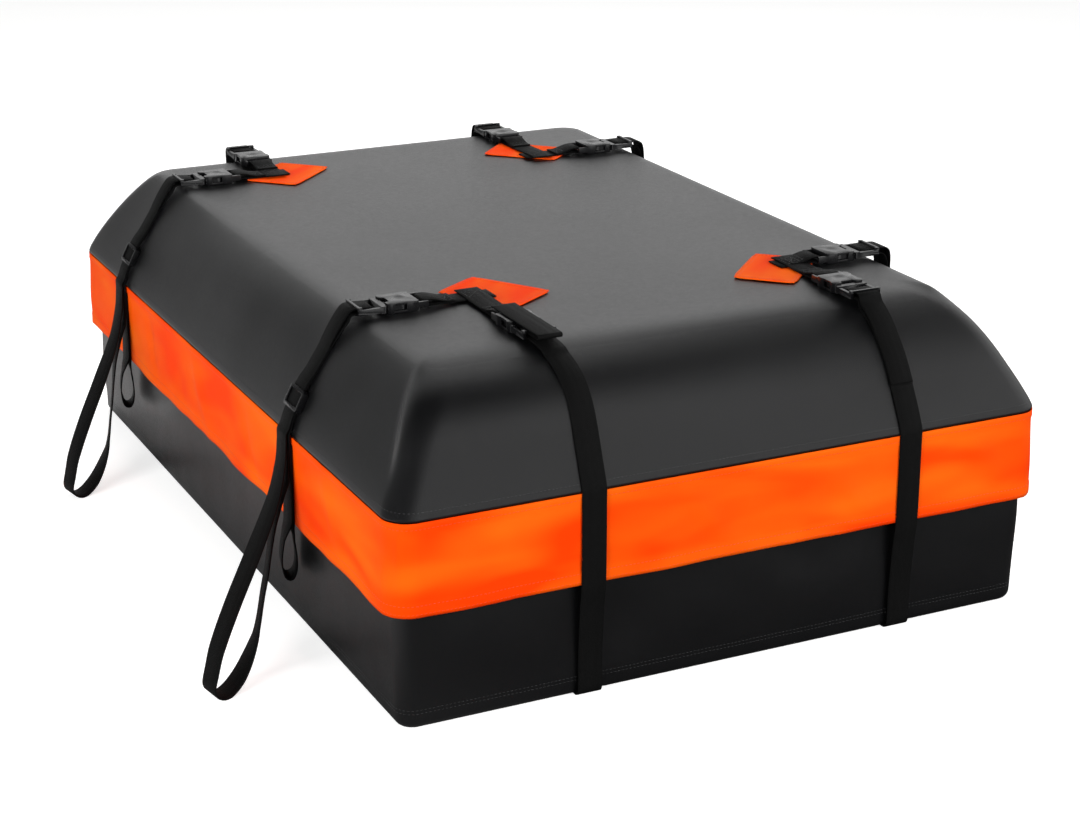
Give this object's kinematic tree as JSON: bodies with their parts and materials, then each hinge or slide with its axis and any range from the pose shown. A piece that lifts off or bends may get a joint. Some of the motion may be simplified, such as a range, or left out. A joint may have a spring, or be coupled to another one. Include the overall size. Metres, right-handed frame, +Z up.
{
  "type": "roof cargo bag",
  "caption": "Soft roof-top cargo bag with a stepped lid, rain flap over a hidden zip, corner patches, webbing straps, side-release buckles and tie-down loops.",
  "frame": {"origin": "middle of the bag's flat underside, which rests on the roof or the floor", "axes": "+X across the bag to its right side, -Y towards its front, +Z up"},
  "size_m": [1.1112, 1.2708, 0.4189],
  "materials": {
    "cloth": "coated woven cloth, soft sheen",
    "orange": "coated cloth, satin",
    "webbing": "woven flat webbing",
    "plastic": "glossy moulded",
    "metal": "dark coated die-cast"
  },
  "bodies": {
    "bag": {"tub": "cloth", "lid": "cloth", "rain_flap": "orange", "zip_chain": "webbing", "belly_strap_left": "webbing", "belly_strap_right": "webbing", "patch_fl": "orange", "patch_fr": "orange", "patch_bl": "orange", "patch_br": "orange", "anchor_fl": "webbing", "anchor_fr": "webbing", "anchor_bl": "webbing", "anchor_br": "webbing", "side_strap_fl": "webbing", "side_strap_fr": "webbing", "side_strap_bl": "webbing", "side_strap_br": "webbing", "socket_fl_side": "plastic", "socket_fl_end": "plastic", "socket_fr_side": "plastic", "socket_fr_end": "plastic", "socket_bl_side": "plastic", "socket_bl_end": "plastic", "socket_br_side": "plastic", "socket_br_end": "plastic"},
    "buckle_plug_fl_side": {"plug_fl_side": "plastic"},
    "buckle_plug_fl_end": {"plug_fl_end": "plastic"},
    "buckle_plug_fr_side": {"plug_fr_side": "plastic"},
    "buckle_plug_fr_end": {"plug_fr_end": "plastic"},
    "buckle_plug_bl_side": {"plug_bl_side": "plastic"},
    "buckle_plug_bl_end": {"plug_bl_end": "plastic"},
    "buckle_plug_br_side": {"plug_br_side": "plastic"},
    "buckle_plug_br_end": {"plug_br_end": "plastic"},
    "strap_glide_fl": {"tri_glide_fl": "plastic"},
    "strap_glide_fr": {"tri_glide_fr": "plastic"},
    "strap_glide_bl": {"tri_glide_bl": "plastic"},
    "strap_glide_br": {"tri_glide_br": "plastic"},
    "slider_left": {"zip_slider_left": "metal"},
    "pull_left": {"zip_pull_left": "metal"},
    "slider_right": {"zip_slider_right": "metal"},
    "pull_right": {"zip_pull_right": "metal"}
  },
  "joints": [
    {"name": "unclip_fl_side", "type": "slide", "parent": "bag", "child": "buckle_plug_fl_side", "axis": [-1, 0, 0], "range_m": [0, 0.006]},
    {"name": "unclip_fl_end", "type": "slide", "parent": "bag", "child": "buckle_plug_fl_end", "axis": [0, -1, 0], "range_m": [0, 0.006]},
    {"name": "unclip_fr_side", "type": "slide", "parent": "bag", "child": "buckle_plug_fr_side", "axis": [1, 0, 0], "range_m": [0, 0.006]},
    {"name": "unclip_fr_end", "type": "slide", "parent": "bag", "child": "buckle_plug_fr_end", "axis": [0, -1, 0], "range_m": [0, 0.006]},
    {"name": "unclip_bl_side", "type": "slide", "parent": "bag", "child": "buckle_plug_bl_side", "axis": [-1, 0, 0], "range_m": [0, 0.006]},
    {"name": "unclip_bl_end", "type": "slide", "parent": "bag", "child": "buckle_plug_bl_end", "axis": [0, 1, 0], "range_m": [0, 0.006]},
    {"name": "unclip_br_side", "type": "slide", "parent": "bag", "child": "buckle_plug_br_side", "axis": [1, 0, 0], "range_m": [0, 0.006]},
    {"name": "unclip_br_end", "type": "slide", "parent": "bag", "child": "buckle_plug_br_end", "axis": [0, 1, 0], "range_m": [0, 0.006]},
    {"name": "glide_fl", "type": "slide", "parent": "bag", "child": "strap_glide_fl", "axis": [-0.46, 0, -0.8879], "range_m": [-0.006, 0.006]},
    {"name": "glide_fr", "type": "slide", "parent": "bag", "child": "strap_glide_fr", "axis": [0.46, 0, -0.8879], "range_m": [-0.006, 0.006]},
    {"name": "glide_bl", "type": "slide", "parent": "bag", "child": "strap_glide_bl", "axis": [-0.46, 0, -0.8879], "range_m": [-0.006, 0.006]},
    {"name": "glide_br", "type": "slide", "parent": "bag", "child": "strap_glide_br", "axis": [0.46, 0, -0.8879], "range_m": [-0.006, 0.006]},
    {"name": "zip_left", "type": "slide", "parent": "bag", "child": "slider_left", "axis": [-1, 0, 0], "range_m": [0, 0.29]},
    {"name": "pull_left", "type": "hinge", "parent": "slider_left", "child": "pull_left", "pos_m": [-0.0075, -0.6248, 0.2095], "axis": [0, 0, 1], "range_deg": [0, 9]},
    {"name": "zip_right", "type": "slide", "parent": "bag", "child": "slider_right", "axis": [1, 0, 0], "range_m": [0, 0.29]},
    {"name": "pull_right", "type": "hinge", "parent": "slider_right", "child": "pull_right", "pos_m": [0.0075, -0.6248, 0.2095], "axis": [0, 0, -1], "range_deg": [0, 9]}
  ]
}
